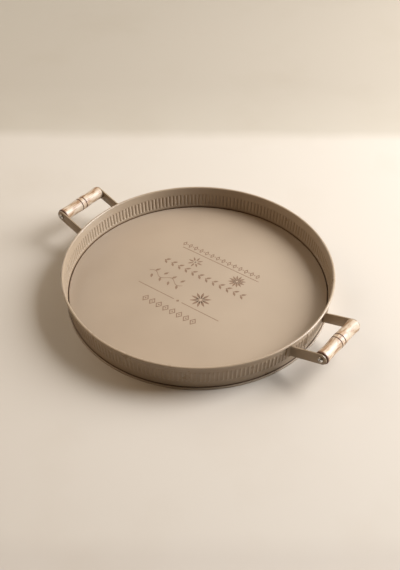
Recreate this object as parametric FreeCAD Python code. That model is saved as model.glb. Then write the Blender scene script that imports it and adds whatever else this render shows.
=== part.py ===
"""Round steel serving tray with a rolled rim, a ribbed side wall and two turned wooden grips.

Millimetres. X runs from the left handle to the right one, Y from the front to the back, Z up.
The origin is the centre of the foot, on the surface that the tray stands on.
"""
import FreeCAD
import Part
import math
import os

# --- driving dimensions -----------------------------------------------------------------------

# the whole tray
RIM_DIAMETER = 400.0        # over the rolled rim
TRAY_HEIGHT = 48.0          # table to the top of the rim
FLOOR_HEIGHT = 11.5         # table to the floor that glasses stand on
SHEET = 0.6                 # steel sheet of the wall and the floor
WALL_LEAN = 5.0             # degrees that the wall leans outwards

# the rolled rim
WIRE_DIAMETER = 2.6         # stiffening wire inside the roll
WIRE_GAP = 0.1              # between the wire and the roll
CURL_TURN = 300.0           # degrees that the sheet is rolled round the wire

# the seam that joins floor and wall
SEAM_REACH = 2.6            # how far the foot stands out from the wall
SEAM_HEIGHT = 3.2
SEAM_GAP = 0.15             # between the folded layers that don't press on each other
HEM_GAP = 0.8               # between the wall and the edge of the floor's fold
FOLD_ROUND = 0.8            # outside radius of the fold's corners
FLOOR_BEND = 2.2            # outside radius where the floor turns down

# the lap where the wall's strip closes to a ring
LAP_WIDTH = 8.0
LAP_ANGLE = -1.4            # degrees from +X
LAP_MARGIN = 1.0            # lap's ends to the seam and to the roll

# the wooden grips
GRIP_LENGTH = 80.0
GRIP_END_DIAMETER = 20.4
GRIP_WAIST_DIAMETER = 18.8
GRIP_EDGE_ROUND = 1.6
GRIP_REACH = 40.0           # rim's outer edge to the grip's axis
GRIP_RISE = 0.4             # rim's top to the grip's axis
GROOVE_OFFSET = 4.0         # grip's middle to each burnt groove
GROOVE_WIDTH = 1.4
GROOVE_DEPTH = 0.7

# the steel straps
STRAP_WIDTH = 16.8
STRAP_THICKNESS = 2.0
STRAP_TILT = 18.5           # degrees that the arm rises outwards
STRAP_BEND = 1.6            # inside radius where the arm turns into the foot
FOOT_LENGTH = 5.6           # foot's length beyond the arm's outer face
FOOT_ROUND = 4.5            # corner radius of the foot's end
END_GAP = 0.3               # strap to the grip's end, and strap to the screw's head

# the screws
SCREW_DIAMETER = 4.0
SCREW_RUNNING_GAP = 0.08    # radial, in the strap's hole
SCREW_CORE_DIAMETER = 2.9
SCREW_THREAD_PITCH = 1.6
THREAD_CREST = 0.35         # share of the pitch where the thread is at its full diameter
THREAD_ROOT = 0.7           # share of the pitch where it is back at the core
SCREW_LENGTH = 24.0         # under the head
SCREW_NECK = 4.2            # plain length under the head
SCREW_POINT = 3.0
SCREW_HEAD_DIAMETER = 8.0
SCREW_HEAD_EDGE = 0.9
SCREW_HEAD_HEIGHT = 2.6
DOME_REACH = 0.62           # share of the head's radius at a point of its dome
DOME_RISE = 0.72            # share of the dome's height at that point
RECESS_SPAN = 4.4
RECESS_WIDTH = 1.0
RECESS_DEPTH = 1.5

# --- sizes that follow ------------------------------------------------------------------------

LEAN = math.radians(WALL_LEAN)
SLANTED_SHEET = SHEET / math.cos(LEAN)
ROLL_INNER = WIRE_DIAMETER / 2 + WIRE_GAP
ROLL_OUTER = ROLL_INNER + SHEET
ROLL_R = RIM_DIAMETER / 2 - ROLL_OUTER
ROLL_Z = TRAY_HEIGHT - ROLL_OUTER
TANGENT_TURN = math.pi - LEAN
GRIP_X = RIM_DIAMETER / 2 + GRIP_REACH
GRIP_HEIGHT = TRAY_HEIGHT + GRIP_RISE
STRAP_INNER_Y = GRIP_LENGTH / 2 + END_GAP
STRAP_OUTER_Y = STRAP_INNER_Y + STRAP_THICKNESS
STRAP_END_RADIUS = STRAP_WIDTH / 2
STRIP_HEIGHT = 3 * STRAP_WIDTH    # of the bent strip that a strap is cut from, each way
ROOT_STEPS = 6              # steps that close in on where a strap meets the wall

UP = FreeCAD.Vector(0, 0, 1)
CENTRE = FreeCAD.Vector(0, 0, 0)
SIDES = {"left": -1, "right": 1}
ENDS = {"front": -1, "back": 1}


def on_roll(radius, turn):
    """A point (r, z) on a circle round the rim wire."""
    return (ROLL_R + radius * math.cos(turn), ROLL_Z + radius * math.sin(turn))


def wall_inner(z):
    """Radius of the wall's inner face at height z."""
    tangent_r, tangent_z = on_roll(ROLL_OUTER, TANGENT_TURN)
    return tangent_r - (tangent_z - z) * math.tan(LEAN)


def wall_outer(z):
    """Radius of the wall's outer face at height z."""
    return wall_inner(z) + SLANTED_SHEET


SEAM_R = wall_outer(SEAM_HEIGHT) + SEAM_REACH

# --- profiles ---------------------------------------------------------------------------------


def section_point(point):
    """A profile's (r, z) as a point in the XZ plane."""
    return FreeCAD.Vector(point[0], 0, point[1])


def line(start, end):
    return Part.makeLine(section_point(start), section_point(end))


def arc(start, middle, end):
    return Part.Arc(section_point(start), section_point(middle), section_point(end)).toShape()


def rounded_path(corners):
    """Edges through corners (r, z, radius), each corner rounded by an arc of its radius."""
    edges = []
    last = corners[0][:2]
    for before, corner, after in zip(corners, corners[1:], corners[2:]):
        r, z, radius = corner
        if radius == 0:
            edges.append(line(last, (r, z)))
            last = (r, z)
            continue
        to_before = FreeCAD.Vector(before[0] - r, before[1] - z, 0).normalize()
        to_after = FreeCAD.Vector(after[0] - r, after[1] - z, 0).normalize()
        half = to_before.getAngle(to_after) / 2
        reach = radius / math.tan(half)
        middle = FreeCAD.Vector(to_before + to_after).normalize() * (radius / math.sin(half) - radius)
        start = (r + to_before.x * reach, z + to_before.y * reach)
        end = (r + to_after.x * reach, z + to_after.y * reach)
        edges.append(line(last, start))
        edges.append(arc(start, (r + middle.x, z + middle.y), end))
        last = end
    edges.append(line(last, corners[-1][:2]))
    return edges


def turned(edges, degrees=360.0):
    """The solid that a closed profile makes when it turns about Z."""
    face = Part.Face(Part.Wire(Part.__sortEdges__(edges)))
    return face.revolve(CENTRE, UP, degrees)


def wall_ring(low, high, inset, thickness, start, sweep):
    """Part of a cone that follows the wall: outside it by inset, from angle start through sweep."""
    corners = [
        (wall_outer(low) + inset, low, 0),
        (wall_outer(low) + inset + thickness, low, 0),
        (wall_outer(high) + inset + thickness, high, 0),
        (wall_outer(high) + inset, high, 0),
        (wall_outer(low) + inset, low, 0),
    ]
    ring = turned(rounded_path(corners), sweep)
    ring.rotate(CENTRE, UP, start)
    return ring


# --- tray body --------------------------------------------------------------------------------


def wall_band():
    """The strip that stands round the floor: flange in the seam, leaning wall, rolled rim, lap."""
    flange_top = SEAM_HEIGHT - SHEET
    flange_bottom = flange_top - SHEET
    hook_outer = SEAM_R - SHEET - SEAM_GAP
    curl_end = TANGENT_TURN - math.radians(CURL_TURN)
    curl_middle = (TANGENT_TURN + curl_end) / 2
    outer_start = on_roll(ROLL_INNER, TANGENT_TURN)
    inner_end = on_roll(ROLL_OUTER, TANGENT_TURN)
    edges = rounded_path([
        outer_start + (0,),
        (wall_outer(flange_top), flange_top, 0),
        (hook_outer, flange_top, 0),
        (hook_outer, SHEET, 0),
        (hook_outer - SHEET, SHEET, 0),
        (hook_outer - SHEET, flange_bottom, 0),
        (wall_inner(flange_bottom), flange_bottom, 0),
        inner_end + (0,),
    ])
    edges.append(arc(inner_end, on_roll(ROLL_OUTER, curl_middle), on_roll(ROLL_OUTER, curl_end)))
    edges.append(line(on_roll(ROLL_OUTER, curl_end), on_roll(ROLL_INNER, curl_end)))
    edges.append(arc(on_roll(ROLL_INNER, curl_end), on_roll(ROLL_INNER, curl_middle), outer_start))
    band = turned(edges)
    lap_sweep = math.degrees(LAP_WIDTH / wall_outer(SEAM_HEIGHT))
    lap_low = SEAM_HEIGHT + LAP_MARGIN
    lap_high = ROLL_Z - ROLL_OUTER - LAP_MARGIN
    lap = wall_ring(lap_low, lap_high, 0, SLANTED_SHEET, LAP_ANGLE, lap_sweep)
    return band.fuse(lap)


def floor_pan():
    """The pressed floor: flat panel, skirt inside the wall, and the fold that grips the wall's flange."""
    panel_under = FLOOR_HEIGHT - SHEET
    fold_inner = wall_outer(SEAM_HEIGHT) + HEM_GAP
    profile = rounded_path([
        (0, FLOOR_HEIGHT, 0),
        (wall_inner(FLOOR_HEIGHT) - SEAM_GAP, FLOOR_HEIGHT, FLOOR_BEND),
        (wall_inner(SHEET) - SEAM_GAP, SHEET, 0),
        (SEAM_R - SHEET, SHEET, 0),
        (SEAM_R - SHEET, SEAM_HEIGHT - SHEET, 0),
        (fold_inner, SEAM_HEIGHT - SHEET, 0),
        (fold_inner, SEAM_HEIGHT, 0),
        (SEAM_R, SEAM_HEIGHT, FOLD_ROUND),
        (SEAM_R, 0, FOLD_ROUND),
        (wall_inner(0) - SEAM_GAP - SLANTED_SHEET, 0, FOLD_ROUND),
        (wall_inner(panel_under) - SEAM_GAP - SLANTED_SHEET, panel_under, FLOOR_BEND - SHEET),
        (0, panel_under, 0),
        (0, FLOOR_HEIGHT, 0),
    ])
    return turned(profile)


def rim_wire():
    """The stiffening wire, butt-welded to a ring, that the rim is rolled round."""
    return Part.makeTorus(ROLL_R, WIRE_DIAMETER / 2, FreeCAD.Vector(0, 0, ROLL_Z), UP)


# --- handles, made at the right and front and then turned or mirrored into place ----------------


def screw():
    """Pan-head wood screw with a cross recess, standing on its point, head's under-face at z = 0."""
    core = SCREW_CORE_DIAMETER / 2
    outer = SCREW_DIAMETER / 2
    head = SCREW_HEAD_DIAMETER / 2
    edges = [
        line((0, SCREW_HEAD_HEIGHT), (0, -SCREW_LENGTH)),
        line((0, -SCREW_LENGTH), (core, SCREW_POINT - SCREW_LENGTH)),
    ]
    turns = int((SCREW_LENGTH - SCREW_NECK - SCREW_POINT) / SCREW_THREAD_PITCH)
    z = SCREW_POINT - SCREW_LENGTH
    for _ in range(turns):
        crest = z + SCREW_THREAD_PITCH * THREAD_CREST
        root = z + SCREW_THREAD_PITCH * THREAD_ROOT
        following = z + SCREW_THREAD_PITCH
        edges.append(line((core, z), (outer, crest)))
        edges.append(line((outer, crest), (core, root)))
        edges.append(line((core, root), (core, following)))
        z = following
    dome = (head * DOME_REACH, SCREW_HEAD_EDGE + (SCREW_HEAD_HEIGHT - SCREW_HEAD_EDGE) * DOME_RISE)
    edges += [
        line((core, z), (outer, z + outer - core)),
        line((outer, z + outer - core), (outer, 0)),
        line((outer, 0), (head, 0)),
        line((head, 0), (head, SCREW_HEAD_EDGE)),
        arc((head, SCREW_HEAD_EDGE), dome, (0, SCREW_HEAD_HEIGHT)),
    ]
    return turned(edges)


def with_recess(plain_screw):
    """The same screw with its cross recess cut."""
    bottom = SCREW_HEAD_HEIGHT - RECESS_DEPTH
    for span_x, span_y in ((RECESS_SPAN, RECESS_WIDTH), (RECESS_WIDTH, RECESS_SPAN)):
        corner = FreeCAD.Vector(-span_x / 2, -span_y / 2, bottom)
        plain_screw = plain_screw.cut(Part.makeBox(span_x, span_y, SCREW_HEAD_HEIGHT, corner))
    return plain_screw


def laid_at(shape, side, end):
    """A shape that stands on Z, laid along the grip's axis with its top facing out of one end."""
    laid = shape.copy()
    laid.rotate(CENTRE, FreeCAD.Vector(1, 0, 0), -90 * end)
    laid.translate(FreeCAD.Vector(side * GRIP_X, end * (STRAP_OUTER_Y + END_GAP), GRIP_HEIGHT))
    return laid


def grip(side, screws):
    """One turned wooden grip, bored by its two screws."""
    half = GRIP_LENGTH / 2
    full = GRIP_END_DIAMETER / 2
    corner = GRIP_EDGE_ROUND * (1 - math.sqrt(0.5))
    groove_edge = GROOVE_OFFSET + GROOVE_WIDTH / 2
    waist_at = (half - GRIP_EDGE_ROUND + groove_edge) / 2
    edges = [
        line((0, -half), (0, half)),
        line((full, groove_edge - GROOVE_WIDTH), (full, GROOVE_WIDTH - groove_edge)),
    ]
    for end in (-1, 1):
        shoulder = end * (half - GRIP_EDGE_ROUND)
        edges += [
            line((0, end * half), (full - GRIP_EDGE_ROUND, end * half)),
            arc((full - GRIP_EDGE_ROUND, end * half), (full - corner, end * (half - corner)),
                (full, shoulder)),
            arc((full, shoulder), (GRIP_WAIST_DIAMETER / 2, end * waist_at), (full, end * groove_edge)),
            arc((full, end * groove_edge), (full - GROOVE_DEPTH, end * GROOVE_OFFSET),
                (full, end * (groove_edge - GROOVE_WIDTH))),
        ]
    body = turned(edges)
    body.rotate(CENTRE, FreeCAD.Vector(1, 0, 0), 90)
    body.translate(FreeCAD.Vector(side * GRIP_X, 0, GRIP_HEIGHT))
    for bored in screws:
        body = body.cut(bored)
    return body


def strap_root():
    """Where the arm's middle line meets the wall's outer face: (x, z) at the arm's outer side."""
    x, z = RIM_DIAMETER / 2, GRIP_HEIGHT
    for _ in range(ROOT_STEPS):
        x = math.sqrt(wall_outer(z) ** 2 - STRAP_OUTER_Y ** 2)
        z = GRIP_HEIGHT - (GRIP_X - x) * math.tan(math.radians(STRAP_TILT))
    return x, z


def at_angle(radius, angle, z):
    return FreeCAD.Vector(radius * math.cos(angle), radius * math.sin(angle), z)


def bent_strip(root_z, height):
    """The strap seen from above, a strip bent from the arm to the foot, extruded along the wall's lean."""
    wall_r = wall_outer(root_z)
    foot_r = wall_r + STRAP_THICKNESS
    bend_y = -STRAP_OUTER_Y - STRAP_BEND
    bend_x = math.sqrt((foot_r + STRAP_BEND) ** 2 - bend_y ** 2)
    bend_angle = math.atan2(bend_y, bend_x)
    end_angle = -math.asin((STRAP_OUTER_Y + FOOT_LENGTH) / wall_r)
    middle_angle = (bend_angle + end_angle) / 2
    knee = (math.pi / 2 + math.pi + bend_angle) / 2
    centre = FreeCAD.Vector(bend_x, bend_y, root_z)
    arm_end = GRIP_X + STRAP_WIDTH
    outer_far = FreeCAD.Vector(arm_end, -STRAP_OUTER_Y, root_z)
    inner_far = FreeCAD.Vector(arm_end, -STRAP_INNER_Y, root_z)
    outer_bend = FreeCAD.Vector(bend_x, -STRAP_OUTER_Y, root_z)
    inner_bend = FreeCAD.Vector(bend_x, -STRAP_INNER_Y, root_z)
    strip = [
        Part.makeLine(outer_far, outer_bend),
        Part.Arc(outer_bend, centre + at_angle(STRAP_BEND, knee, 0),
                 at_angle(foot_r, bend_angle, root_z)).toShape(),
        Part.Arc(at_angle(foot_r, bend_angle, root_z), at_angle(foot_r, middle_angle, root_z),
                 at_angle(foot_r, end_angle, root_z)).toShape(),
        Part.makeLine(at_angle(foot_r, end_angle, root_z), at_angle(wall_r, end_angle, root_z)),
        Part.Arc(at_angle(wall_r, end_angle, root_z), at_angle(wall_r, middle_angle, root_z),
                 at_angle(wall_r, bend_angle, root_z)).toShape(),
        Part.Arc(at_angle(wall_r, bend_angle, root_z),
                 centre + at_angle(STRAP_BEND + STRAP_THICKNESS, knee, 0), inner_bend).toShape(),
        Part.makeLine(inner_bend, inner_far),
        Part.makeLine(inner_far, outer_far),
    ]
    lean = FreeCAD.Vector(math.tan(LEAN) / math.cos(middle_angle), 0, 1)
    face = Part.Face(Part.Wire(strip))
    face.translate(lean * -height)
    return face.extrude(lean * (2 * height)), bend_x


def strap_outline(root_x, root_z, bend_x):
    """The strap seen from the side: tilted arm with a round outer end, and upright foot."""
    tilt = math.radians(STRAP_TILT)
    along = FreeCAD.Vector(math.cos(tilt), 0, math.sin(tilt))
    across = FreeCAD.Vector(-math.sin(tilt), 0, math.cos(tilt))
    eye = FreeCAD.Vector(GRIP_X, -STRAP_OUTER_Y - STRAP_BEND, GRIP_HEIGHT)
    reach = (GRIP_X - root_x + STRAP_WIDTH) / math.cos(tilt)
    top = eye + across * STRAP_END_RADIUS
    bottom = eye - across * STRAP_END_RADIUS
    outline = [
        Part.makeLine(bottom - along * reach, bottom),
        Part.Arc(bottom, eye + along * STRAP_END_RADIUS, top).toShape(),
        Part.makeLine(top, top - along * reach),
        Part.makeLine(top - along * reach, bottom - along * reach),
    ]
    arm = Part.Face(Part.Wire(outline)).extrude(FreeCAD.Vector(0, STRAP_THICKNESS + STRAP_BEND, 0))

    half_height = STRAP_END_RADIUS / math.cos(tilt)
    low = root_z - half_height
    high = root_z + half_height + (bend_x - root_x) * math.tan(tilt)
    foot_end = STRAP_OUTER_Y + FOOT_LENGTH
    foot = Part.makeBox(bend_x, foot_end - STRAP_INNER_Y, high - low, FreeCAD.Vector(0, -foot_end, low))
    corners = [edge for edge in foot.Edges if all(abs(v.Y + foot_end) < 1e-6 for v in edge.Vertexes)]
    corners = [edge for edge in corners if abs(edge.Vertexes[0].Z - edge.Vertexes[1].Z) < 1e-6]
    return arm.fuse(foot.makeFillet(FOOT_ROUND, corners))


def strap():
    """The right front strap: arm with a running hole for the screw, bent into a foot on the wall."""
    root_x, root_z = strap_root()
    strip, bend_x = bent_strip(root_z, STRIP_HEIGHT)
    inside_wall = wall_ring(0, 2 * GRIP_HEIGHT, -wall_inner(0), wall_inner(0), 0, 360)
    hole_radius = SCREW_DIAMETER / 2 + SCREW_RUNNING_GAP
    hole_start = FreeCAD.Vector(GRIP_X, -STRAP_OUTER_Y - STRAP_THICKNESS, GRIP_HEIGHT)
    hole = Part.makeCylinder(hole_radius, 3 * STRAP_THICKNESS, hole_start, FreeCAD.Vector(0, 1, 0))
    return strip.common(strap_outline(root_x, root_z, bend_x)).cut(inside_wall).cut(hole)


def placed(shape, side, end):
    """A right front shape moved to the handle and end where it belongs."""
    copy = shape.copy()
    if side * end > 0:
        copy = copy.mirror(CENTRE, FreeCAD.Vector(0, 1, 0))
    if side < 0:
        copy.rotate(CENTRE, UP, 180)
    return copy


# --- assembly ---------------------------------------------------------------------------------


def build():
    nodes = {"wall_band": wall_band(), "floor_pan": floor_pan(), "rim_wire": rim_wire()}
    right_front_strap = strap()
    plain_screw = screw()
    cross_screw = with_recess(plain_screw)
    for side_name, side in SIDES.items():
        bores = []
        for end_name, end in ENDS.items():
            nodes[f"{side_name}_{end_name}_strap"] = placed(right_front_strap, side, end)
            nodes[f"{side_name}_{end_name}_screw"] = laid_at(cross_screw, side, end)
            bores.append(laid_at(plain_screw, side, end))
        nodes[f"{side_name}_grip"] = grip(side, bores)
    return nodes


os.makedirs("parts", exist_ok=True)
for name, shape in build().items():
    shape.exportStep(f"parts/{name}.step")
    print(name, shape.ShapeType, len(shape.Solids), shape.isValid(), round(shape.Volume, 1), shape.BoundBox)
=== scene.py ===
"""A round steel serving tray with a ribbed wall, a rolled rim and turned wooden grips, in metres."""
import math
import bmesh
import bpy
from mathutils import Matrix, Vector


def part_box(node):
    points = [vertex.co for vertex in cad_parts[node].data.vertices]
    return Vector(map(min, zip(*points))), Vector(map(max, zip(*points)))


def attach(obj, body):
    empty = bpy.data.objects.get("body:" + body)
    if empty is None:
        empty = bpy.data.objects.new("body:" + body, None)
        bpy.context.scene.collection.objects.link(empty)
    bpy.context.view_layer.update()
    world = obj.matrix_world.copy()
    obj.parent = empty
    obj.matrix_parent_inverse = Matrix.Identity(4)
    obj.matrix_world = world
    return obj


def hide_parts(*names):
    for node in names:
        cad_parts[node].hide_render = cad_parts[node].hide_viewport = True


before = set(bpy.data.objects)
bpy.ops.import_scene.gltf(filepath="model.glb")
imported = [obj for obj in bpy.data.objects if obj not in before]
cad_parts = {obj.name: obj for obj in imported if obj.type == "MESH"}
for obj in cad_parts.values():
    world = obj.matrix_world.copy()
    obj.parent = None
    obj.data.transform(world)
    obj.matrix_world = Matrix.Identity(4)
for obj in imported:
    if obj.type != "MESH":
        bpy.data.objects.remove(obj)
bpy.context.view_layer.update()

# --- table, light and camera ------------------------------------------------------------------
# A pale table top under a soft window light at the back right, with a weak warm glow at the back,
# a warm fill at the front left and a low fill on the left. The room itself gives little light.
# The camera looks down on the tray from its front right.

table = bpy.data.objects.new("table", bpy.data.meshes.new("table"))
bpy.context.scene.collection.objects.link(table)
TABLE_HALF = 6.0
table.data.from_pydata(
    [(x * TABLE_HALF, y * TABLE_HALF, 0) for x, y in ((-1, -1), (1, -1), (1, 1), (-1, 1))],
    [], [(0, 1, 2, 3)])


def new_material(name):
    """An empty node material: its tree, its output and a Principled shader joined to it."""
    material = bpy.data.materials.new(name)
    material.use_nodes = True
    tree = material.node_tree
    tree.nodes.clear()
    output = tree.nodes.new("ShaderNodeOutputMaterial")
    shader = tree.nodes.new("ShaderNodeBsdfPrincipled")
    tree.links.new(shader.outputs["BSDF"], output.inputs["Surface"])
    return material, tree, shader


def add_node(tree, kind, settings=None, **inputs):
    """A node of one kind, with its settings, and its inputs set to values or joined to sockets."""
    node = tree.nodes.new(kind)
    for key, value in (settings or {}).items():
        setattr(node, key, value)
    for key, value in inputs.items():
        socket = node.inputs[int(key[1:])] if key[0] == "_" else node.inputs[key.replace("_", " ")]
        if isinstance(value, bpy.types.NodeSocket):
            tree.links.new(value, socket)
        else:
            socket.default_value = value
    return node


def colour_ramp(tree, factor, stops):
    """Colours at places along a factor from 0 to 1."""
    ramp = add_node(tree, "ShaderNodeValToRGB", Fac=factor)
    while len(ramp.color_ramp.elements) < len(stops):
        ramp.color_ramp.elements.new(0.5)
    for element, (place, colour) in zip(ramp.color_ramp.elements, stops):
        element.position = place
        element.color = (*colour, 1)
    return ramp.outputs["Color"]


def value_range(tree, value, low, high, from_low=0.0, from_high=1.0):
    """A value moved linearly to the range from low to high."""
    node = add_node(tree, "ShaderNodeMapRange", Value=value, From_Min=from_low, From_Max=from_high,
                    To_Min=low, To_Max=high)
    return node.outputs["Result"]


plaster, tree, shader = new_material("table_plaster")
place = add_node(tree, "ShaderNodeTexCoord").outputs["Object"]
nearness = add_node(tree, "ShaderNodeVectorMath", {"operation": "DOT_PRODUCT"}, _0=place,
                    _1=(0.624, -0.781, 0)).outputs["Value"]
wander = add_node(tree, "ShaderNodeTexNoise", Vector=place, Scale=9.0, Detail=3.0).outputs["Fac"]
nearness = add_node(tree, "ShaderNodeMath", {"operation": "MULTIPLY_ADD"},
                    _0=wander, _1=0.02, _2=nearness).outputs[0]
# The table's colour steps darker towards the back, away from the camera, and a little darker near the front.
depth_share = value_range(tree, nearness, 0.0, 1.0, -0.6, 0.6)
tone_by_depth = colour_ramp(tree, depth_share, [
    (0.0, (0.43, 0.375, 0.31)), (0.135, (0.47, 0.415, 0.345)), (0.165, (0.575, 0.515, 0.45)),
    (0.85, (0.575, 0.515, 0.45)), (0.875, (0.545, 0.485, 0.425)), (1.0, (0.56, 0.50, 0.44))])
stain = add_node(tree, "ShaderNodeTexNoise", Vector=place, Scale=6.0, Detail=6.0).outputs["Fac"]
stained = add_node(tree, "ShaderNodeMix", {"data_type": "RGBA", "blend_type": "MULTIPLY"})
tree.links.new(value_range(tree, stain, 0.0, 0.35, 0.5, 0.8), stained.inputs[0])
tree.links.new(tone_by_depth, stained.inputs[6])
stained.inputs[7].default_value = (0.88, 0.85, 0.80, 1)
tree.links.new(stained.outputs[2], shader.inputs["Base Color"])
shader.inputs["Roughness"].default_value = 0.85
table.data.materials.append(plaster)

world = bpy.data.worlds.new("soft_room")
world.use_nodes = True
tree = world.node_tree
towards = add_node(tree, "ShaderNodeTexCoord").outputs["Generated"]
height = add_node(tree, "ShaderNodeSeparateXYZ", Vector=towards).outputs["Z"]
room = colour_ramp(tree, height, [
    (0.0, (0.05, 0.035, 0.022)), (0.45, (0.12, 0.085, 0.05)), (1.0, (1.0, 0.74, 0.48))])
tree.links.new(room, tree.nodes["Background"].inputs["Color"])
tree.nodes["Background"].inputs["Strength"].default_value = 0.13
bpy.context.scene.world = world


def softbox(name, azimuth, elevation, width, height, power, colour):
    """A rectangular area light, LIGHT_DISTANCE away, that faces the middle of the tray."""
    light = bpy.data.lights.new(name, "AREA")
    light.shape = "RECTANGLE"
    light.size = width
    light.size_y = height
    light.energy = power
    light.color = colour
    lamp = bpy.data.objects.new(name, light)
    bpy.context.scene.collection.objects.link(lamp)
    around, above = math.radians(azimuth), math.radians(elevation)
    level = math.cos(above)
    outward = Vector((level * math.cos(around), level * math.sin(around), math.sin(above)))
    turn = outward.to_track_quat("Z", "Y").to_matrix().to_4x4()
    lamp.matrix_world = Matrix.Translation(outward * LIGHT_DISTANCE) @ turn


LIGHT_DISTANCE = 2.4
softbox("window", 50, 34, 1.4, 1.9, 126, (0.956, 0.98, 1.0))
softbox("window_glow", 98, 38, 1.6, 1.5, 9, (1.0, 0.88, 0.72))
softbox("room_fill", 215, 42, 1.8, 1.6, 18.5, (1.0, 0.77, 0.54))
softbox("side_fill", 170, 24, 1.6, 1.2, 13, (0.92, 1.0, 0.96))

CAMERA_AZIMUTH = math.radians(38.64)
CAMERA_ELEVATION = math.radians(42.40)
CAMERA_ROLL = math.radians(0.38)
CAMERA_DISTANCE = 1.291
CAMERA_LENS = 54.3
AIM_RIGHT = 0.0028
AIM_UP = 0.0087

right = Vector((math.cos(CAMERA_AZIMUTH), math.sin(CAMERA_AZIMUTH), 0))
back = Vector((math.sin(CAMERA_AZIMUTH) * math.cos(CAMERA_ELEVATION),
               -math.cos(CAMERA_AZIMUTH) * math.cos(CAMERA_ELEVATION), math.sin(CAMERA_ELEVATION)))
up = back.cross(right)
camera = bpy.data.objects.new("camera", bpy.data.cameras.new("camera"))
bpy.context.scene.collection.objects.link(camera)
camera.data.lens = CAMERA_LENS
camera.data.sensor_width = 36.0
rolled_right = right * math.cos(CAMERA_ROLL) + up * math.sin(CAMERA_ROLL)
rolled_up = back.cross(rolled_right)
camera.matrix_world = Matrix.Translation(right * AIM_RIGHT + up * AIM_UP + back * CAMERA_DISTANCE) @ Matrix(
    (rolled_right, rolled_up, back)).transposed().to_4x4()
bpy.context.scene.camera = camera
bpy.context.scene.view_settings.view_transform = "Standard"

# --- wall band --------------------------------------------------------------------------------
# The side wall is one strip of 0.6 mm steel, closed to a ring by a lap at the right handle.
# Upright ribs are rolled into it, and its top is rolled outwards over a wire. Satin powder coat.

MM = 0.001
wall_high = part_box("wall_band")[1]
SHEET = 0.6 * MM
ROLL_OUTER = 2.0 * MM
WALL_LEAN = math.radians(5.0)
CURL_TURN = math.radians(300)
ROLL_R = wall_high.x - ROLL_OUTER
ROLL_Z = wall_high.z - ROLL_OUTER
RIBS = 203
PITCH = 2 * math.pi / RIBS
RIB_LOW = 14.8 * MM
RIB_HIGH = 35.2 * MM
RIB_HALF_WIDTH = 2.1 * MM
RIB_DEPTH = 0.95 * MM
LAP_ANGLE = math.radians(-1.4)
LAP_EDGE = 0.06                 # the lap's edge, in pitches from the start of its tile
LAP_LOW = 4.4 * MM
LAP_HIGH = 42.5 * MM
LAP_SPREAD = 0.1 * MM           # height over which the lap's ends step down
WALL_FOOT = 0.7 * MM            # where the wall ends, inside the seam
RIB_MARGIN = 0.6 * MM           # plain strip between the ribs' ends and the coarser mesh
CLOSING_RIB = 98                # where the ribbing ends, with one broken rib

TANGENT = math.pi - WALL_LEAN
SLANTED = SHEET / math.cos(WALL_LEAN)


def roll_point(radius, turn):
    return ROLL_R + radius * math.cos(turn), ROLL_Z + radius * math.sin(turn)


def wall_inner(z):
    r, top = roll_point(ROLL_OUTER, TANGENT)
    return r - (top - z) * math.tan(WALL_LEAN)


def smooth_step(t):
    t = min(max(t, 0), 1)
    return t * t * (3 - 2 * t)


def rib_height(across, z, low, high, depth):
    """Height of a round-ended rib at a distance across it and a height on the wall."""
    nearest = min(max(z, low + RIB_HALF_WIDTH), high - RIB_HALF_WIDTH)
    share = math.hypot(across, z - nearest) / RIB_HALF_WIDTH
    return depth * math.cos(share * math.pi / 2) ** 2 if share < 1 else 0.0


def rib_rows():
    """Heights of the mesh rows in the ribbed zone: close together where the ribs round off."""
    ends = [0, 0.35, 0.8, 1.3, 1.8, 2.3]
    low = [RIB_LOW + e * MM for e in ends]
    high = [RIB_HIGH - e * MM for e in reversed(ends)]
    return low + high


def wall_tile(name, columns, shift, all_fine=False):
    """One upright slice of the wall, inner face, roll and outer face. shift(u, z, outside) moves it outwards.
    Above and below the ribs, a slice needs only a coarse row of columns, unless all_fine."""
    span = columns[-1]
    coarse = columns if all_fine else [span * i / 2 for i in range(3)]
    tile = bmesh.new()

    def row(stops, r, z, outside):
        out = []
        for u in stops:
            reach = r + shift(u, z, outside)
            out.append(tile.verts.new((reach * math.cos(u * PITCH), reach * math.sin(u * PITCH), z)))
        return out

    def face_rows(outside):
        thick = SLANTED if outside else 0
        below = (WALL_FOOT, LAP_LOW - LAP_SPREAD, LAP_LOW, RIB_LOW - RIB_MARGIN)
        over = (RIB_HIGH + RIB_MARGIN, LAP_HIGH, LAP_HIGH + LAP_SPREAD)
        levels = [(coarse, below), (columns, rib_rows()), (coarse, over)]
        return [row(stops, wall_inner(z) + thick, z, outside) for stops, heights in levels for z in heights]

    def roll_rows(radius, steps, outside):
        turns = [TANGENT - CURL_TURN * i / steps for i in range(steps + 1)]
        return [row(coarse, *roll_point(radius, turn), outside) for turn in turns]

    rows = face_rows(False) + roll_rows(ROLL_OUTER, 18, False)
    rows += list(reversed(roll_rows(ROLL_OUTER - SHEET, 6, True))) + list(reversed(face_rows(True)))
    rows.append(rows[0])
    for lower, upper in zip(rows, rows[1:]):
        if len(lower) == len(upper):
            for i in range(len(lower) - 1):
                tile.faces.new((lower[i + 1], lower[i], upper[i], upper[i + 1]))
            continue
        few, many = (lower, upper) if len(lower) < len(upper) else (upper, lower)
        share = (len(many) - 1) // (len(few) - 1)
        for i in range(len(few) - 1):
            ring = [few[i], few[i + 1]] + list(reversed(many[i * share:(i + 1) * share + 1]))
            tile.faces.new(ring if few is upper else list(reversed(ring)))
    bmesh.ops.recalc_face_normals(tile, faces=tile.faces)
    mesh = bpy.data.meshes.new(name)
    tile.to_mesh(mesh)
    tile.free()
    mesh.materials.append(wall_paint)
    return bpy.data.objects.new(name, mesh)


def plain_rib(u, z, outside):
    across = ((u % 1.0) - 0.5) * PITCH * wall_inner(z)
    return rib_height(across, z, RIB_LOW, RIB_HIGH, RIB_DEPTH)


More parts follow.
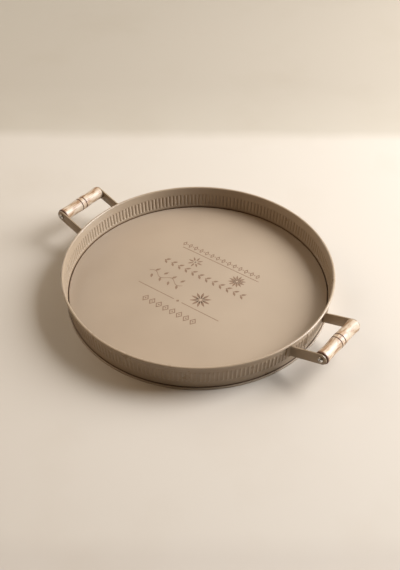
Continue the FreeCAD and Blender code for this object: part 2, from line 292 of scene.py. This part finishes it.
def lapped_rib(u, z, outside):
    lapped = 0.0
    if outside and u > LAP_EDGE and LAP_LOW <= z <= LAP_HIGH + 0.01 * MM:
        lapped = SHEET * (1 - smooth_step((u - 1.1) / 0.8))
    return plain_rib(u, z, outside) + lapped


def broken_rib(u, z, outside):
    across = (u - 0.5) * PITCH * wall_inner(z)
    middle = (RIB_LOW + RIB_HIGH) / 2
    lower = rib_height(across, z, RIB_LOW, middle - 0.5 * MM, RIB_DEPTH)
    return lower + rib_height(across, z, middle + 0.5 * MM, RIB_HIGH, RIB_DEPTH)


def new_tree(name, numbers=(), objects=()):
    """A Geometry Nodes tree with named inputs, and its input and output nodes."""
    tree = bpy.data.node_groups.new(name, "GeometryNodeTree")
    tree.interface.new_socket("Geometry", in_out="INPUT", socket_type="NodeSocketGeometry")
    tree.interface.new_socket("Geometry", in_out="OUTPUT", socket_type="NodeSocketGeometry")
    for label, kind in numbers:
        tree.interface.new_socket(label, in_out="INPUT", socket_type=kind)
    for label in objects:
        tree.interface.new_socket(label, in_out="INPUT", socket_type="NodeSocketObject")
    tree.interface.new_socket("Finish", in_out="INPUT", socket_type="NodeSocketMaterial")
    return tree, tree.nodes.new("NodeGroupInput"), tree.nodes.new("NodeGroupOutput")


def finish_tree(tree, given, out, geometry, merge=1e-6):
    """Ends a tree: instances made real, touching points merged, smooth shading, material."""
    real = add_node(tree, "GeometryNodeRealizeInstances", Geometry=geometry).outputs[0]
    merged = add_node(tree, "GeometryNodeMergeByDistance", Geometry=real, Distance=merge).outputs[0]
    smooth = add_node(tree, "GeometryNodeSetShadeSmooth", Geometry=merged).outputs[0]
    painted = add_node(tree, "GeometryNodeSetMaterial", Geometry=smooth, Material=given.outputs["Finish"])
    tree.links.new(painted.outputs[0], out.inputs[0])


def grown(name, tree, values, sharp=math.radians(35)):
    """The plain mesh object that a tree makes with these input values."""
    seed = bpy.data.objects.new(name + "_seed", bpy.data.meshes.new(name + "_seed"))
    bpy.context.scene.collection.objects.link(seed)
    modifier = seed.modifiers.new("grow", "NODES")
    modifier.node_group = tree
    for item in tree.interface.items_tree:
        if item.in_out == "INPUT" and item.name in values:
            modifier[item.identifier] = values[item.name]
    depsgraph = bpy.context.evaluated_depsgraph_get()
    mesh = bpy.data.meshes.new_from_object(seed.evaluated_get(depsgraph), depsgraph=depsgraph)
    mesh.name = name
    mesh.set_sharp_from_angle(angle=sharp)
    bpy.data.objects.remove(seed)
    piece = bpy.data.objects.new(name, mesh)
    bpy.context.scene.collection.objects.link(piece)
    return piece


def painted_crease_shade(tree, place, colour, edge, inside, outside):
    """A colour darkened by painted shade, by height: by the inside stops, (mm, share), where the radius less
    the wall's lean is under edge, and by the outside stops elsewhere."""
    parts = add_node(tree, "ShaderNodeSeparateXYZ", Vector=place).outputs
    flat = add_node(tree, "ShaderNodeVectorMath", {"operation": "MULTIPLY"},
                    _0=place, _1=(1, 1, 0)).outputs[0]
    radius = add_node(tree, "ShaderNodeVectorMath", {"operation": "LENGTH"}, _0=flat).outputs["Value"]
    upright = add_node(tree, "ShaderNodeMath", {"operation": "MULTIPLY_ADD"}, _0=parts["Z"],
                       _1=-math.tan(WALL_LEAN), _2=radius).outputs[0]
    outer = add_node(tree, "ShaderNodeMath", {"operation": "GREATER_THAN"}, _0=upright, _1=edge).outputs[0]
    height = value_range(tree, parts["Z"], 0.0, 1.0, 0.0, 20 * MM)
    shade = add_node(tree, "ShaderNodeMix", {"data_type": "RGBA"})
    tree.links.new(outer, shade.inputs[0])
    for socket, stops in ((6, inside), (7, outside)):
        grey = [(z / 20, (share, share ** 1.25, share ** 1.5)) for z, share in stops]
        tree.links.new(colour_ramp(tree, height, grey), shade.inputs[socket])
    dark = add_node(tree, "ShaderNodeMix", {"data_type": "RGBA", "blend_type": "MULTIPLY"})
    dark.inputs[0].default_value = 1.0
    tree.links.new(colour, dark.inputs[6])
    tree.links.new(shade.outputs[2], dark.inputs[7])
    return dark.outputs[2]


def powder_coat(name, colour, gloss, crease_shade=None):
    """Satin taupe powder coat: slight colour drift, fine orange peel, uneven gloss and, if asked, painted
    shade that darkens its creases.
    """
    material, tree, shader = new_material(name)
    place = add_node(tree, "ShaderNodeTexCoord").outputs["Object"]
    drift = add_node(tree, "ShaderNodeTexNoise", Vector=place, Scale=9.0, Detail=3.0).outputs["Fac"]
    speckle = add_node(tree, "ShaderNodeTexNoise", Vector=place, Scale=1400.0, Detail=1.0).outputs["Fac"]
    both = add_node(tree, "ShaderNodeMath", {"operation": "MULTIPLY_ADD"}, _0=speckle, _1=0.25, _2=drift)
    darker = tuple(c * 0.94 for c in colour)
    lighter = tuple(c * 1.05 for c in colour)
    paint = colour_ramp(tree, both.outputs[0], [(0.35, darker), (0.85, lighter)])
    tree.links.new(painted_crease_shade(tree, place, paint, *crease_shade) if crease_shade else paint, shader.inputs["Base Color"])
    patches = add_node(tree, "ShaderNodeTexNoise", Vector=place, Scale=35.0, Detail=4.0).outputs["Fac"]
    tree.links.new(value_range(tree, patches, gloss - 0.05, gloss + 0.05), shader.inputs["Roughness"])
    peel = add_node(tree, "ShaderNodeTexNoise", Vector=place, Scale=620.0, Detail=2.0).outputs["Fac"]
    bump = add_node(tree, "ShaderNodeBump", Strength=0.3, Distance=0.05 * MM, Height=peel)
    tree.links.new(bump.outputs["Normal"], shader.inputs["Normal"])
    return material


# Painted shade: the wall's colour darkens towards the floor on its inner face and towards the seam on its
# outer face, where shade falls in these creases.
FLOOR_CREASE_SHADE = [(11.6, 0.35), (12.2, 0.72), (14.6, 1.0)]    # (mm, share of the colour) inside
FOOT_CREASE_SHADE = [(3.3, 0.28), (3.9, 0.5), (4.7, 1.0)]         # and outside, above the seam
wall_paint = powder_coat("wall_paint", (0.369, 0.278, 0.194), 0.29,
                         (wall_inner(0) + SHEET / 2, FLOOR_CREASE_SHADE, FOOT_CREASE_SHADE))

fine = [i / 12 for i in range(13)]
lap_columns = sorted([LAP_EDGE - 0.004, LAP_EDGE + 0.004] + [i / 12 for i in range(25)])
tiles = {
    "Rib tile": wall_tile("rib_tile", fine, plain_rib),
    "Lap tile": wall_tile("lap_tile", lap_columns, lapped_rib, all_fine=True),
    "Closing tile": wall_tile("closing_tile", fine, broken_rib),
}

tree, given, out = new_tree("ring_of_ribs", [
    ("Count", "NodeSocketInt"), ("Pitch", "NodeSocketFloat"), ("Start", "NodeSocketFloat"),
    ("Lap at", "NodeSocketInt"), ("Closing at", "NodeSocketInt")], list(tiles))
points = add_node(tree, "GeometryNodePoints", Count=given.outputs["Count"]).outputs[0]
index = add_node(tree, "GeometryNodeInputIndex").outputs[0]
turn = add_node(tree, "ShaderNodeMath", {"operation": "MULTIPLY_ADD"},
                _0=index, _1=given.outputs["Pitch"], _2=given.outputs["Start"]).outputs[0]
rotation = add_node(tree, "ShaderNodeCombineXYZ", Z=turn).outputs[0]


def where(operation, a, b, kind="INT"):
    node = add_node(tree, "FunctionNodeCompare", {"data_type": kind, "operation": operation})
    for socket, value in zip([s for s in node.inputs if s.enabled and s.type == kind], (a, b)):
        if isinstance(value, bpy.types.NodeSocket):
            tree.links.new(value, socket)
        else:
            socket.default_value = value
    return node.outputs[0]


def logic(operation, *values):
    node = add_node(tree, "FunctionNodeBooleanMath", {"operation": operation})
    for socket, value in zip(node.inputs, values):
        tree.links.new(value, socket)
    return node.outputs[0]


at_lap = where("EQUAL", index, given.outputs["Lap at"])
after_lap = where("EQUAL", index, add_node(
    tree, "ShaderNodeMath", {"operation": "ADD"}, _0=given.outputs["Lap at"], _1=1.0).outputs[0])
at_closing = where("EQUAL", index, given.outputs["Closing at"])
plain = logic("NOT", logic("OR", logic("OR", at_lap, after_lap), at_closing))
join = tree.nodes.new("GeometryNodeJoinGeometry")
for label, chosen in (("Rib tile", plain), ("Lap tile", at_lap), ("Closing tile", at_closing)):
    tile = add_node(tree, "GeometryNodeObjectInfo", Object=given.outputs[label]).outputs["Geometry"]
    ring = add_node(tree, "GeometryNodeInstanceOnPoints", Points=points, Selection=chosen,
                    Instance=tile, Rotation=rotation)
    tree.links.new(ring.outputs[0], join.inputs[0])
finish_tree(tree, given, out, join.outputs[0], merge=0.005 * MM)

wall = grown("wall_ribbed", tree, {
    "Count": RIBS, "Pitch": PITCH, "Start": LAP_ANGLE - LAP_EDGE * PITCH, "Lap at": 0,
    "Closing at": CLOSING_RIB, "Finish": wall_paint, **tiles}, sharp=math.radians(50))
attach(wall, "tray")
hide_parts("wall_band")

# --- floor pan --------------------------------------------------------------------------------
# The floor is a flat panel pressed from the same sheet. Its edge turns down inside the wall and
# is folded round the wall's foot, which makes the seam that the tray stands on.

FLOOR_TOP = 11.5 * MM
FLOOR_BEND = 2.2 * MM
SEAM_R = wall_inner(0) + SLANTED + 2.9 * MM
SEAM_TOP = 3.2 * MM
SEAM_GAP = 0.15 * MM
HEM_GAP = 0.8 * MM
FOLD_ROUND = 0.8 * MM


def rounded(corners, steps=5):
    """Points along a profile of (r, z, radius) corners, each rounded by its radius."""
    out = []
    for before, here, after in zip([corners[0]] + corners, corners, corners[1:] + [corners[-1]]):
        at = Vector(here[:2])
        if not here[2]:
            out.append(tuple(at))
            continue
        back, on = (Vector(before[:2]) - at).normalized(), (Vector(after[:2]) - at).normalized()
        half = back.angle(on) / 2
        centre = at + (back + on).normalized() * here[2] / math.sin(half)
        first = (at + back * here[2] / math.tan(half) - centre).normalized()
        last = (at + on * here[2] / math.tan(half) - centre).normalized()
        out += [tuple(centre + first.slerp(last, i / steps) * here[2]) for i in range(steps + 1)]
    return out


def lathe(name, profile, columns, start):
    """A solid of revolution. A profile that begins and ends on the axis is closed there by flat discs."""
    body = bmesh.new()
    inner, outer = profile[0][0] == 0, profile[-1][0] == 0
    stops = profile[1:] if inner else profile
    stops = stops[:-1] if outer else stops
    rows = []
    for r, z in stops:
        turns = [start + 2 * math.pi * i / columns for i in range(columns)]
        rows.append([body.verts.new((r * math.cos(t), r * math.sin(t), z)) for t in turns])
    for lower, upper in zip(rows, rows[1:] + ([] if inner else rows[:1])):
        for i in range(columns):
            j = (i + 1) % columns
            body.faces.new((lower[i], lower[j], upper[j], upper[i]))
    if inner:
        body.faces.new(rows[0])
        body.faces.new(rows[-1])
    bmesh.ops.recalc_face_normals(body, faces=body.faces)
    mesh = bpy.data.meshes.new(name)
    body.to_mesh(mesh)
    body.free()
    mesh.shade_smooth()
    mesh.set_sharp_from_angle(angle=math.radians(32))
    piece = bpy.data.objects.new(name, mesh)
    bpy.context.scene.collection.objects.link(piece)
    return piece


panel_under = FLOOR_TOP - SHEET
fold_inner = wall_inner(SEAM_TOP) + SLANTED + HEM_GAP
pan = lathe("floor_pressed", rounded([
    (0, FLOOR_TOP, 0),
    (wall_inner(FLOOR_TOP) - SEAM_GAP, FLOOR_TOP, FLOOR_BEND),
    (wall_inner(SHEET) - SEAM_GAP, SHEET, 0),
    (SEAM_R - SHEET, SHEET, 0),
    (SEAM_R - SHEET, SEAM_TOP - SHEET, 0),
    (fold_inner, SEAM_TOP - SHEET, 0),
    (fold_inner, SEAM_TOP, 0),
    (SEAM_R, SEAM_TOP, FOLD_ROUND),
    (SEAM_R, 0, FOLD_ROUND),
    (wall_inner(0) - SEAM_GAP - SLANTED, 0, FOLD_ROUND),
    (wall_inner(panel_under) - SEAM_GAP - SLANTED, panel_under, FLOOR_BEND - SHEET),
    (0, panel_under, 0),
]), columns=2 * RIBS, start=LAP_ANGLE - LAP_EDGE * PITCH)
# Painted shade: the floor's colour darkens round its turned-down edge, in the crevice between floor and wall,
# where shade falls.
EVEN = [(0.0, 1.0), (20.0, 1.0)]                            # (mm, share of the colour) on the panel
EDGE_CREASE_SHADE = [(3.1, 1.0), (3.3, 0.3), (10.7, 0.28), (11.4, 1.0)]    # and round its turned edge
EDGE_INSET = 0.5 * MM
floor_paint = powder_coat("floor_paint", (0.39, 0.303, 0.224), 0.30,
                          (wall_inner(0) - FLOOR_BEND - EDGE_INSET, EVEN, EDGE_CREASE_SHADE))
pan.data.materials.append(floor_paint)
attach(pan, "tray")
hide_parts("floor_pan")

# --- floor ornament ---------------------------------------------------------------------------
# The floor's decoration is printed in thick brown ink, which stands a little above the paint.
# The ornament is generic: rows of lozenges and leaves, a vine and rosettes between fine rules.

INK_HEIGHT = 0.08 * MM
INK_ROOT = 0.10 * MM
ORNAMENT_TURN = math.radians(3.3)


def flat_motif(name, outline, hole=None):
    """A thin solid with this outline, in millimetres, that stands on the floor. hole makes it a frame."""
    shape = bmesh.new()
    loops = []
    for ring in [outline] + ([hole] if hole else []):
        levels = [[shape.verts.new((x * MM, y * MM, z)) for x, y in ring] for z in (-INK_ROOT, INK_HEIGHT)]
        loops.append(levels)
        for i in range(len(ring)):
            j = (i + 1) % len(ring)
            shape.faces.new((levels[0][i], levels[0][j], levels[1][j], levels[1][i]))
    for level in range(2):
        if not hole:
            shape.faces.new(loops[0][level])
            continue
        for i in range(len(outline)):
            j = (i + 1) % len(outline)
            shape.faces.new((loops[0][level][i], loops[0][level][j], loops[1][level][j], loops[1][level][i]))
    bmesh.ops.recalc_face_normals(shape, faces=shape.faces)
    mesh = bpy.data.meshes.new(name)
    shape.to_mesh(mesh)
    shape.free()
    mesh.materials.append(ink)
    return bpy.data.objects.new(name, mesh)


def lozenge(width, height):
    return [(-width / 2, 0), (0, -height / 2), (width / 2, 0), (0, height / 2)]


def leaf(start, length, width, steps=7):
    """A pointed leaf that lies along X."""
    shares = [i / steps for i in range(steps + 1)]
    lower = [(start + length * share, -width / 2 * math.sin(math.pi * share ** 0.8)) for share in shares]
    return lower + [(x, -y) for x, y in reversed(lower[1:-1])]


def disc(width, sides=12):
    return [(width / 2 * math.cos(2 * math.pi * i / sides), width / 2 * math.sin(2 * math.pi * i / sides))
            for i in range(sides)]


def wave(length, rise, width, crests, steps=48):
    """A ribbon that follows a sine wave along X."""
    shares = [i / steps for i in range(steps + 1)]
    middle = [(length * share, rise * math.sin(2 * math.pi * crests * share)) for share in shares]
    return [(x, y - width / 2) for x, y in middle] + [(x, y + width / 2) for x, y in reversed(middle)]


repeat, given, out = new_tree("repeated_motif", [
    ("Count", "NodeSocketInt"), ("Start", "NodeSocketVector"), ("Step", "NodeSocketVector"),
    ("First turn", "NodeSocketFloat"), ("Turn each", "NodeSocketFloat"), ("Size", "NodeSocketFloat")],
    ["Motif"])
tree = repeat
index = add_node(tree, "GeometryNodeInputIndex").outputs[0]
stepped = add_node(tree, "ShaderNodeVectorMath", {"operation": "SCALE"}, _0=given.outputs["Step"])
tree.links.new(index, stepped.inputs["Scale"])
placed = add_node(tree, "ShaderNodeVectorMath", {"operation": "ADD"},
                  _0=given.outputs["Start"], _1=stepped.outputs[0]).outputs[0]
points = add_node(tree, "GeometryNodePoints", Count=given.outputs["Count"], Position=placed).outputs[0]
turn = add_node(tree, "ShaderNodeMath", {"operation": "MULTIPLY_ADD"},
                _0=index, _1=given.outputs["Turn each"], _2=given.outputs["First turn"]).outputs[0]
rotation = add_node(tree, "ShaderNodeCombineXYZ", Z=turn).outputs[0]
size = given.outputs["Size"]
scale = add_node(tree, "ShaderNodeCombineXYZ", X=size, Y=size, Z=1.0).outputs[0]
motif = add_node(tree, "GeometryNodeObjectInfo", Object=given.outputs["Motif"]).outputs["Geometry"]
copies = add_node(tree, "GeometryNodeInstanceOnPoints",
                  Points=points, Instance=motif, Rotation=rotation, Scale=scale)
finish_tree(tree, given, out, copies.outputs[0], merge=1e-7)

ink, tree, shader = new_material("brown_ink")
place = add_node(tree, "ShaderNodeTexCoord").outputs["Object"]
worn = add_node(tree, "ShaderNodeTexNoise", Vector=place, Scale=260.0, Detail=4.0).outputs["Fac"]
tree.links.new(colour_ramp(tree, worn, [(0.35, (0.20, 0.122, 0.078)), (0.65, (0.25, 0.158, 0.102))]),
               shader.inputs["Base Color"])
tree.links.new(value_range(tree, worn, 0.42, 0.56), shader.inputs["Roughness"])
grain = add_node(tree, "ShaderNodeTexNoise", Vector=place, Scale=900.0, Detail=2.0).outputs["Fac"]
bump = add_node(tree, "ShaderNodeBump", Strength=0.3, Distance=0.04 * MM, Height=grain)
tree.links.new(bump.outputs["Normal"], shader.inputs["Normal"])

motifs = {
    "small_lozenge": flat_motif("small_lozenge", lozenge(6.4, 10.6), lozenge(3.4, 5.6)),
    "dot": flat_motif("dot", disc(1.9)),
    "long_leaf": flat_motif("long_leaf", leaf(0.8, 8.6, 3.6)),
    "petal": flat_motif("petal", leaf(3.2, 9.6, 2.9)),
    "inner_petal": flat_motif("inner_petal", leaf(1.6, 5.0, 1.5)),
    "upper_rule": flat_motif("upper_rule", [(0, -0.55), (140.5, -0.55), (140.5, 0.55), (0, 0.55)]),
    "lower_rule": flat_motif("lower_rule", [(0, -0.55), (65.5, -0.55), (65.5, 0.55), (0, 0.55)]),
    "vine": flat_motif("vine", wave(62, 4.2, 1.1, 2)),
    "frame": flat_motif("frame", lozenge(10.4, 14.6), lozenge(7.0, 9.8)),
    "diamond": flat_motif("diamond", lozenge(5.0, 5.0)),
}
QUARTER = math.pi / 2
# motif, count, first place (along, up), step along, first turn, turn each, size
ornament = [
    ("small_lozenge", 14, (-73, 67.4), 10.4, 0, 0, 1), ("dot", 13, (-67.8, 67.4), 10.4, 0, 0, 1),
    ("upper_rule", 1, (-71, 58.6), 0, 0, 0, 1),
    ("petal", 8, (-33.8, 40), 0, 0, QUARTER / 2, 0.95), ("dot", 8, (-33.8, 40), 0, 0, QUARTER / 2, 1.3),
    ("petal", 12, (42.5, 40.5), 0, 0, QUARTER / 3, 1.05),
    ("inner_petal", 12, (42.5, 40.5), 0, 0, QUARTER / 3, 0.9),
    ("long_leaf", 12, (-75, 18.4), 12.6, 0.75, 0, 1), ("long_leaf", 12, (-75, 18.4), 12.6, -0.75, 0, 1),
    ("dot", 12, (-75, 18.4), 12.6, 0, 0, 1),
    ("vine", 1, (-80, -15), 0, 0, 0, 1),
    ("long_leaf", 4, (-72.2, -11.5), 15.5, 1.1, 0, 1.05),
    ("long_leaf", 4, (-72.2, -18.5), 15.5, -1.1, 0, 1.05),
    ("petal", 10, (21.6, -24), 0, 0, QUARTER / 2.5, 1.25),
    ("inner_petal", 10, (21.6, -24), 0, 0, QUARTER / 2.5, 1.2),
    ("lower_rule", 2, (-77, -45), 79.5, 0, 0, 1), ("diamond", 1, (-4.6, -45), 0, 0, 0, 1),
    ("frame", 8, (-46.5, -67.4), 12.2, 0, 0, 1), ("dot", 8, (-46.5, -67.4), 12.2, 0, 0, 1.2),
]
print_mesh = bmesh.new()
for number, (motif, count, (along, up), step, first, each, size) in enumerate(ornament):
    part = grown(f"ornament_{number}", repeat, {
        "Count": count, "Start": (along * MM, up * MM, FLOOR_TOP), "Step": (step * MM, 0.0, 0.0),
        "First turn": float(first), "Turn each": float(each), "Size": float(size), "Finish": ink,
        "Motif": motifs[motif]})
    print_mesh.from_mesh(part.data)
    bpy.data.objects.remove(part)
bmesh.ops.rotate(print_mesh, verts=print_mesh.verts, cent=(0, 0, 0),
                 matrix=Matrix.Rotation(ORNAMENT_TURN, 3, "Z"))
ornament_mesh = bpy.data.meshes.new("floor_ornament")
print_mesh.to_mesh(ornament_mesh)
print_mesh.free()
ornament_mesh.materials.append(ink)
printed = bpy.data.objects.new("floor_ornament", ornament_mesh)
bpy.context.scene.collection.objects.link(printed)
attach(printed, "tray")

# --- rim wire ---------------------------------------------------------------------------------
# A drawn steel wire, welded to a ring, that stiffens the rim from inside the roll.

drawn_wire, tree, shader = new_material("drawn_wire")
place = add_node(tree, "ShaderNodeTexCoord").outputs["Object"]
scratches = add_node(tree, "ShaderNodeTexNoise", Vector=place, Scale=900.0).outputs["Fac"]
tree.links.new(colour_ramp(tree, scratches, [(0.3, (0.42, 0.42, 0.43)), (0.7, (0.56, 0.56, 0.56))]),
               shader.inputs["Base Color"])
shader.inputs["Metallic"].default_value = 1.0
shader.inputs["Roughness"].default_value = 0.4
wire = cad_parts["rim_wire"]
wire.data.materials.clear()
wire.data.materials.append(drawn_wire)

# --- straps -----------------------------------------------------------------------------------
# Four flat steel bars, each bent into a foot that is spot-welded to the wall, with a hole for the
# grip's screw. They wear the wall's paint, drawn darker as painted shade, and their cut edges are slightly
# rounded.

EDGE_ROUND = 0.35 * MM


def softened(node, width):
    """A copy of a node's solid with clean flat faces and rounded edges."""
    piece = bpy.data.objects.new(node + "_rounded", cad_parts[node].data.copy())
    bpy.context.scene.collection.objects.link(piece)
    solid = bmesh.new()
    solid.from_mesh(piece.data)
    bmesh.ops.remove_doubles(solid, verts=solid.verts, dist=0.002 * MM)
    bmesh.ops.dissolve_limit(solid, angle_limit=math.radians(1.0), verts=solid.verts, edges=solid.edges)
    solid.to_mesh(piece.data)
    solid.free()
    bevel = piece.modifiers.new("edge", "BEVEL")
    bevel.width = width
    bevel.segments = 2
    bevel.limit_method = "ANGLE"
    bevel.angle_limit = math.radians(40)
    depsgraph = bpy.context.evaluated_depsgraph_get()
    mesh = bpy.data.meshes.new_from_object(piece.evaluated_get(depsgraph), depsgraph=depsgraph)
    piece.modifiers.clear()
    piece.data = mesh
    mesh.shade_smooth()
    mesh.set_sharp_from_angle(angle=math.radians(32))
    return piece


# Painted shade: the straps' paint is the wall's paint made darker, for the shade on their faces, which turn
# away from the light.
shaded_strap_paint = powder_coat("shaded_strap_paint", (0.30, 0.219, 0.142), 0.33)
for side in ("left", "right"):
    for end in ("front", "back"):
        strap = softened(f"{side}_{end}_strap", EDGE_ROUND)
        strap.data.materials.clear()
        strap.data.materials.append(shaded_strap_paint)
        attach(strap, "tray")
        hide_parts(f"{side}_{end}_strap")

# --- grips ------------------------------------------------------------------------------------
# Each grip is turned from pale hardwood, with its grain along the grip, sanded and oiled. Two
# rings are burnt into its middle by a hot wire. Painted shade darkens its end faces, and more of its front
# end, which faces away from the light.

GROOVE_OFFSET = 4.0 * MM
GROOVE_BURN = (0.6 * MM, 1.3 * MM)      # from a groove's middle, burnt through to bare wood
END_SHADE_SPAN = (0.9 * MM, 0.2 * MM)        # from a grip's end, bare wood to painted shade on its end face
NEAR_SHADE_SPAN = (1.9 * MM, 3.3 * MM)       # from the front end, painted shade through to bare wood
RING_PITCH = 2.6 * MM


def turned_wood(name, grip, pith):
    """Pale wood with grain along Y. pith is where the tree's middle lies from the grip's axis."""
    low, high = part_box(grip)
    axis = (low + high) / 2
    material, tree, shader = new_material(name)
    place = add_node(tree, "ShaderNodeTexCoord").outputs["Object"]
    centred = add_node(tree, "ShaderNodeVectorMath", {"operation": "SUBTRACT"}, _0=place,
                       _1=(axis.x + pith[0], 0.0, axis.z + pith[1])).outputs[0]
    stretched = add_node(tree, "ShaderNodeMapping", Vector=centred, Scale=(60, 9, 60)).outputs[0]
    wander = add_node(tree, "ShaderNodeTexNoise", Vector=stretched, Scale=1.0, Detail=3.0).outputs["Color"]
    wobble = add_node(tree, "ShaderNodeVectorMath", {"operation": "MULTIPLY_ADD"}, _0=wander,
                      _1=(0.006, 0, 0.006), _2=centred).outputs[0]
    flat = add_node(tree, "ShaderNodeVectorMath", {"operation": "MULTIPLY"},
                    _0=wobble, _1=(1, 0, 1)).outputs[0]
    radius = add_node(tree, "ShaderNodeVectorMath", {"operation": "LENGTH"}, _0=flat).outputs["Value"]
    rings = add_node(tree, "ShaderNodeMath", {"operation": "MULTIPLY"},
                     _0=radius, _1=2 * math.pi / RING_PITCH)
    wave = add_node(tree, "ShaderNodeMath", {"operation": "SINE"}, _0=rings.outputs[0]).outputs[0]
    fibres = add_node(tree, "ShaderNodeMapping", Vector=centred, Scale=(1500, 60, 1500)).outputs[0]
    fibre = add_node(tree, "ShaderNodeTexNoise", Vector=fibres, Scale=1.0, Detail=4.0).outputs["Fac"]
    patches = add_node(tree, "ShaderNodeMapping", Vector=centred, Scale=(170, 62, 170)).outputs[0]
    patch = add_node(tree, "ShaderNodeTexNoise", Vector=patches, Scale=1.0, Detail=2.0).outputs["Fac"]
    mix = patch
    for layer, share in ((wave, 0.055), (fibre, 0.22)):
        mix = add_node(tree, "ShaderNodeMath", {"operation": "MULTIPLY_ADD"},
                       _0=layer, _1=share, _2=mix).outputs[0]
    wood = colour_ramp(tree, mix, [
        (0.38, (0.27, 0.135, 0.066)), (0.53, (0.43, 0.28, 0.17)), (0.68, (0.59, 0.465, 0.345))])
    length = add_node(tree, "ShaderNodeSeparateXYZ", Vector=place).outputs["Y"]
    along = add_node(tree, "ShaderNodeMath", {"operation": "ABSOLUTE"}, _0=length).outputs[0]
    from_groove = add_node(tree, "ShaderNodeMath", {"operation": "SUBTRACT"},
                           _0=along, _1=GROOVE_OFFSET).outputs[0]
    from_groove = add_node(tree, "ShaderNodeMath", {"operation": "ABSOLUTE"}, _0=from_groove).outputs[0]
    ringed = value_range(tree, from_groove, 1.0, 0.0, *GROOVE_BURN)
    # Painted shade: the end faces and the front end take the dark burn colour, for the shade that falls on
    # them. The same dark colour also draws the real burnt rings.
    shaded_ends = value_range(tree, along, 0.0, 1.0, *(high.y - depth for depth in END_SHADE_SPAN))
    shaded_front_end = value_range(tree, length, 1.0, 0.0, *(low.y + depth for depth in NEAR_SHADE_SPAN))
    burnt_and_shaded = add_node(tree, "ShaderNodeMath", {"operation": "MAXIMUM"}, _0=ringed, _1=shaded_ends).outputs[0]
    burnt_and_shaded = add_node(tree, "ShaderNodeMath", {"operation": "MAXIMUM"}, _0=burnt_and_shaded, _1=shaded_front_end).outputs[0]
    burn_and_shade = add_node(tree, "ShaderNodeMix", {"data_type": "RGBA"})
    tree.links.new(burnt_and_shaded, burn_and_shade.inputs[0])
    tree.links.new(wood, burn_and_shade.inputs[6])
    burn_and_shade.inputs[7].default_value = (0.15, 0.068, 0.036, 1)
    tree.links.new(burn_and_shade.outputs[2], shader.inputs["Base Color"])
    tree.links.new(value_range(tree, fibre, 0.36, 0.52), shader.inputs["Roughness"])
    bump = add_node(tree, "ShaderNodeBump", Strength=0.25, Distance=0.08 * MM, Height=fibre)
    tree.links.new(bump.outputs["Normal"], shader.inputs["Normal"])
    shader.inputs["Coat Weight"].default_value = 0.15
    shader.inputs["Coat Roughness"].default_value = 0.3
    return material


PITHS = {"left": (0.021, -0.013), "right": (-0.017, -0.024)}
for side, pith in PITHS.items():
    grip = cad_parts[f"{side}_grip"]
    grip.data.materials.clear()
    grip.data.materials.append(turned_wood(f"{side}_wood", f"{side}_grip", pith))

# --- screws -----------------------------------------------------------------------------------
# Nickel-plated pan-head wood screws with a cross recess, one driven into each end of a grip.

nickel, tree, shader = new_material("nickel")
place = add_node(tree, "ShaderNodeTexCoord").outputs["Object"]
haze = add_node(tree, "ShaderNodeTexNoise", Vector=place, Scale=700.0, Detail=3.0).outputs["Fac"]
tree.links.new(colour_ramp(tree, haze, [(0.3, (0.62, 0.61, 0.59)), (0.7, (0.74, 0.73, 0.70))]),
               shader.inputs["Base Color"])
tree.links.new(value_range(tree, haze, 0.18, 0.32), shader.inputs["Roughness"])
shader.inputs["Metallic"].default_value = 1.0
for side in ("left", "right"):
    for end in ("front", "back"):
        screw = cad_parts[f"{side}_{end}_screw"]
        screw.data.materials.clear()
        screw.data.materials.append(nickel)
